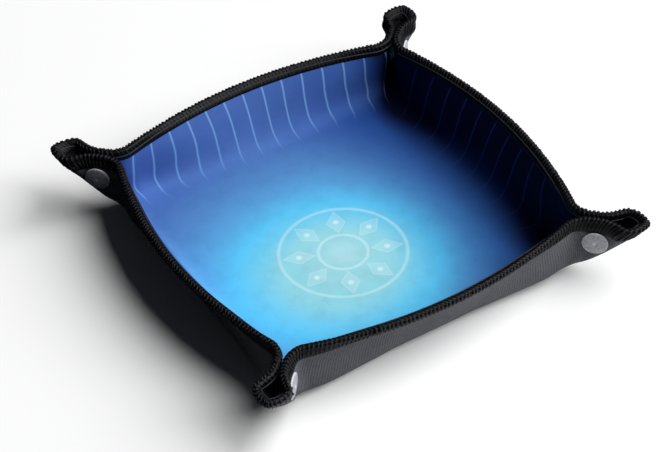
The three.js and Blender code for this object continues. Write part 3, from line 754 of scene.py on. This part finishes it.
def turned_piece(name, profile, body, face):
    """A piece turned from its profile of (radius, height), set on a face of the flap at its snap."""
    data = bpy.data.meshes.new(name)
    points = [(r * MM, 0, h * MM) for r, h in profile]
    data.from_pydata(points, [(i, i + 1) for i in range(len(points) - 1)], [])
    piece = bpy.data.objects.new(name, data)
    bpy.context.scene.collection.objects.link(piece)
    bpy.ops.object.select_all(action="DESELECT")
    piece.select_set(True)
    bpy.context.view_layer.objects.active = piece
    bpy.ops.object.modifier_add(type="SCREW")
    screw = piece.modifiers[-1]
    screw.axis, screw.steps, screw.render_steps = "Z", TURNING_STEPS, TURNING_STEPS
    screw.use_merge_vertices, screw.merge_threshold = True, 1e-6
    bpy.ops.object.modifier_apply(modifier=screw.name)
    bpy.ops.object.mode_set(mode="EDIT")
    bpy.ops.mesh.select_all(action="SELECT")
    bpy.ops.mesh.remove_doubles(threshold=1e-6)
    bpy.ops.mesh.normals_make_consistent(inside=False)
    bpy.ops.object.mode_set(mode="OBJECT")
    kind, corner = body.split("_flap_")
    side = 1 if kind == "stud" else -1
    turn = CORNERS.index(corner)
    axis = in_diagonal(0, 0, side)
    set_down = Matrix.Translation(in_diagonal(SNAP_REACH, SNAP_HEIGHT, side * face) * MM)
    lie = axis.to_track_quat("Z", "Y").to_matrix().to_4x4()
    piece.data.transform(Matrix.Rotation(turn * math.pi / 2, 4, "Z") @ set_down @ lie)
    piece.data.update()
    bpy.ops.object.shade_smooth_by_angle(angle=math.radians(SMOOTH_BELOW))
    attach(piece, body)
    return piece


def snap_finish(name, dark, pale, roughness):
    """Satin plastic with fine scratches that run out from the middle, and a painted highlight on its centre
    and round its rim.
    """
    finish, wire, shader = new_finish(name, Roughness=roughness, Specular_IOR_Level=0.45)
    ray = wire.node("UVMap", {"uv_map": "snap"})
    radius = ray.node("SeparateXYZ", Vector=ray)
    angle = ray.node("SeparateXYZ", output=1, Vector=ray)
    streaks = wire.node("TexNoise", {"noise_dimensions": "2D"}, Scale=1.0, Detail=3,
                        Vector=wire.node("CombineXYZ", X=radius * 0.5, Y=angle * 46))
    broad = wire.node("TexNoise", {"noise_dimensions": "2D"}, Scale=1.0, Detail=1,
                      Vector=wire.node("CombineXYZ", X=radius * 0.4, Y=angle * 5))
    # Painted highlights: a pale spot in the middle and a pale ring at the edge.
    centre = radius.between(1.3, 0.3)
    rim = radius.between(5.5, 6.1)
    tone = (streaks * 0.75 + broad * 0.45 + centre * 0.5 + rim * 0.35).math("ADD", -0.28, clamp=True)
    feed(shader, Base_Color=tone.mixed(dark, pale), Roughness=streaks * 0.25 + (roughness - 0.1))
    feed(shader, Normal=wire.node("Bump", Strength=0.12, Distance=0.0002, Height=streaks))
    return finish


def add_snap_map(piece, kind, corner, face):
    """A map of distance and turn round the snap's axis, for its scratches."""
    turn = CORNERS.index(corner)
    side = 1 if kind == "stud" else -1
    spin = Matrix.Rotation(turn * math.pi / 2, 3, "Z")
    centre = spin @ in_diagonal(SNAP_REACH, SNAP_HEIGHT, side * face) * MM
    reach = spin @ in_diagonal(1, 0)
    layer = piece.data.uv_layers.new(name="snap")
    for loop in piece.data.loops:
        off = (piece.data.vertices[loop.vertex_index].co - centre) / MM
        x, z = off.dot(reach), off.z
        layer.data[loop.index].uv = (math.hypot(x, z), math.atan2(z, x))


# The caps' colours are partly painted reflection: they are set much paler than their grey plastic, for the
# white surroundings they reflect.
cap_plastic = snap_finish("satin_cap", (0.13, 0.135, 0.15), (0.85, 0.86, 0.92), 0.34)
snap_plastic = snap_finish("satin_snap", (0.20, 0.205, 0.225), (0.42, 0.43, 0.46), 0.42)
for corner in CORNERS:
    for kind, profile in (("stud", STUD_PROFILE), ("socket", SOCKET_PROFILE)):
        body = f"{kind}_flap_{corner}"
        outer_face, inner_face = FLAP_OFFSET + HALF_SHEET, FLAP_OFFSET - HALF_SHEET
        cap = turned_piece(f"snap_cap_{corner}_{kind}", CAP_PROFILE, body, outer_face)
        add_snap_map(cap, kind, corner, outer_face)
        cap.data.materials.append(cap_plastic)
        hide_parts(f"cap_{corner}_{kind}")
        snap = turned_piece(f"snap_{kind}_{corner}", profile, body, inner_face)
        add_snap_map(snap, kind, corner, inner_face)
        snap.data.materials.append(snap_plastic)
        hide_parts(f"{kind}_{corner}")

# The floor and the light
# A white sheet that carries the tray's shadow, one large soft lamp high up behind the tray's back
# right corner, and a little even light from all round. All but the camera see the sheet dark on its
# front left side, and from below it isn't there.
FLOOR_SIZE, FLOOR_HEIGHT = 8, -0.0002
LAMP_SIZE, LAMP_ENERGY, LAMP_PLACE = 6.2, 565, (1.8, 3.4, 4.1)
bpy.ops.object.select_all(action="DESELECT")
bpy.ops.mesh.primitive_plane_add(size=FLOOR_SIZE, location=(0, 0, FLOOR_HEIGHT))
floor = bpy.context.object
floor.name = "floor"
paper, wire, shader = new_finish("white_paper", Roughness=0.9, Specular_IOR_Level=0.1)
spot = wire.node("TexCoord", output=3)
spot_x = spot.node("SeparateXYZ", Vector=spot)
spot_y = spot.node("SeparateXYZ", output=1, Vector=spot)
lit_side = (spot_x + spot_y).between(-0.12, 0.10)
thrown_back = lit_side.mixed((0.02, 0.02, 0.03), (0.94, 0.95, 0.98))
feed(shader, Base_Color=wire.node("LightPath").mixed(thrown_back, (0.99, 0.99, 0.99)),
     Alpha=1 - wire.node("NewGeometry", output=6))
floor.data.materials.append(paper)
world = bpy.data.worlds.new("studio")
bpy.context.scene.world = world
world.use_nodes = True
sky = Wire(world.node_tree)
seen = sky.node("LightPath")
background = world.node_tree.nodes["Background"]
world.node_tree.links.new(seen.mixed((0.72, 0.84, 1), (1, 1, 1)).socket, background.inputs["Color"])
world.node_tree.links.new((seen * 0.982 + 0.018).socket, background.inputs["Strength"])
lamp = bpy.data.objects.new("soft_lamp", bpy.data.lights.new("soft_lamp", "AREA"))
lamp.data.shape, lamp.data.size, lamp.data.energy = "DISK", LAMP_SIZE, LAMP_ENERGY
bpy.context.scene.collection.objects.link(lamp)
lamp.location = LAMP_PLACE
lamp.rotation_mode = "QUATERNION"
lamp.rotation_quaternion = lamp.location.to_track_quat("Z", "Y")
